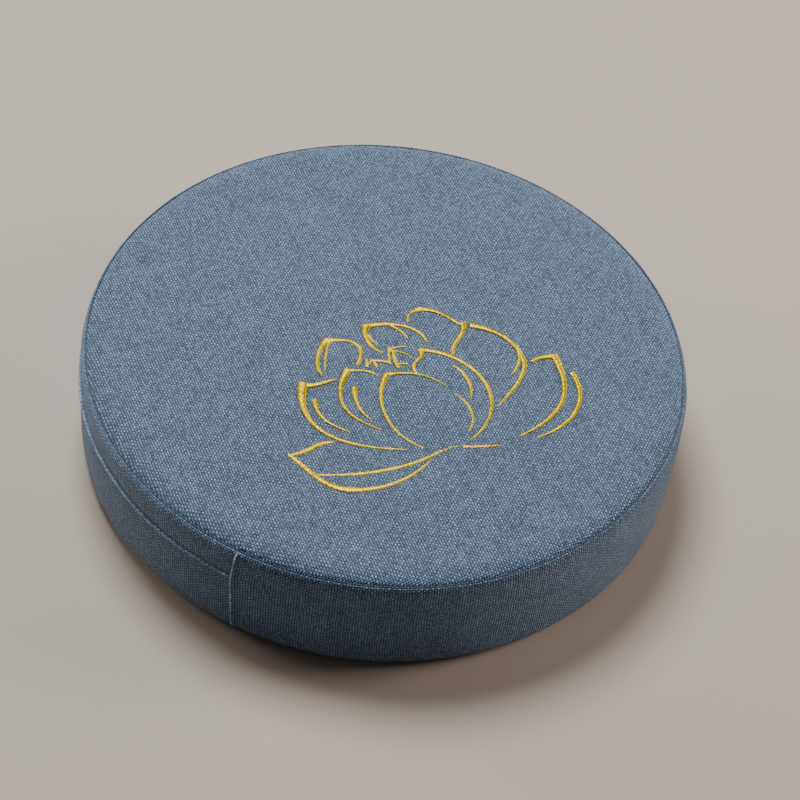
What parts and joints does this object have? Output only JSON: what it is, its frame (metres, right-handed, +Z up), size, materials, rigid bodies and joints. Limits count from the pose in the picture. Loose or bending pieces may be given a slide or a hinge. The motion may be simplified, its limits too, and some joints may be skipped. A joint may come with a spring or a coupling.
{
  "type": "round floor cushion",
  "caption": "Low round floor cushion with firm square sides, a removable linen-look cover closed by a zip under a folded lip, and a raised gold lotus embroidered off centre on the top.",
  "frame": {"origin": "centre of the underside, on the surface that the cushion rests on", "axes": "+Z up; +Y towards the top of the embroidered lotus; +X to its right"},
  "size_m": [0.4001, 0.4001, 0.084],
  "materials": {
    "cover_cloth": "coarse plain weave, grey-blue, matt",
    "sewing_thread": "spun polyester, dark blue",
    "embroidery_thread": "satin stitch, gold, with a sheen",
    "zip_tape": "fine woven tape, dark blue",
    "zip_coil": "moulded coil, dark blue",
    "zip_metal": "dull plated",
    "liner_cloth": "non-woven, white",
    "wadding": "fibre wadding, white",
    "foam": "open-cell foam, cream"
  },
  "bodies": {
    "cushion": {"top_panel": "cover_cloth", "bottom_panel": "cover_cloth", "plain_band": "cover_cloth", "zip_strip_upper": "cover_cloth", "zip_strip_lower": "cover_cloth", "lip_topstitch": "sewing_thread", "seam_thread_top": "sewing_thread", "seam_thread_bottom": "sewing_thread", "end_stitch_front": "sewing_thread", "end_stitch_back": "sewing_thread", "lotus_centre_petal": "embroidery_thread", "lotus_centre_vein": "embroidery_thread", "lotus_wrap_vein": "embroidery_thread", "lotus_back_petal": "embroidery_thread", "lotus_far_petal": "embroidery_thread", "lotus_far_echo": "embroidery_thread", "lotus_upper_left_petal": "embroidery_thread", "lotus_left_petal": "embroidery_thread", "lotus_mid_left_petal": "embroidery_thread", "lotus_mid_left_vein": "embroidery_thread", "lotus_lower_left_petal": "embroidery_thread", "lotus_lower_left_vein": "embroidery_thread", "lotus_low_petal": "embroidery_thread", "lotus_base_dash": "embroidery_thread", "lotus_stamens": "embroidery_thread", "zip_tape_upper": "zip_tape", "zip_tape_lower": "zip_tape", "zip_coil_upper": "zip_coil", "zip_coil_lower": "zip_coil", "zip_top_stop_upper": "zip_metal", "zip_top_stop_lower": "zip_metal", "zip_bottom_stop": "zip_metal", "liner_top": "liner_cloth", "liner_bottom": "liner_cloth", "liner_band": "liner_cloth", "embroidery_backing": "liner_cloth", "wadding_top": "wadding", "wadding_bottom": "wadding", "foam_core": "foam"},
    "slider": {"zip_slider": "zip_metal"},
    "pull": {"zip_pull": "zip_metal"}
  },
  "joints": [
    {"name": "zip_travel", "type": "hinge", "parent": "cushion", "child": "slider", "pos_m": [0, 0, 0.054], "axis": [0, 0, 1], "range_deg": [0, 162]},
    {"name": "pull_swing", "type": "hinge", "parent": "slider", "child": "pull", "pos_m": [0.05406, 0.19494, 0.054], "axis": [0, 0, 1], "range_deg": [0, 165]}
  ]
}
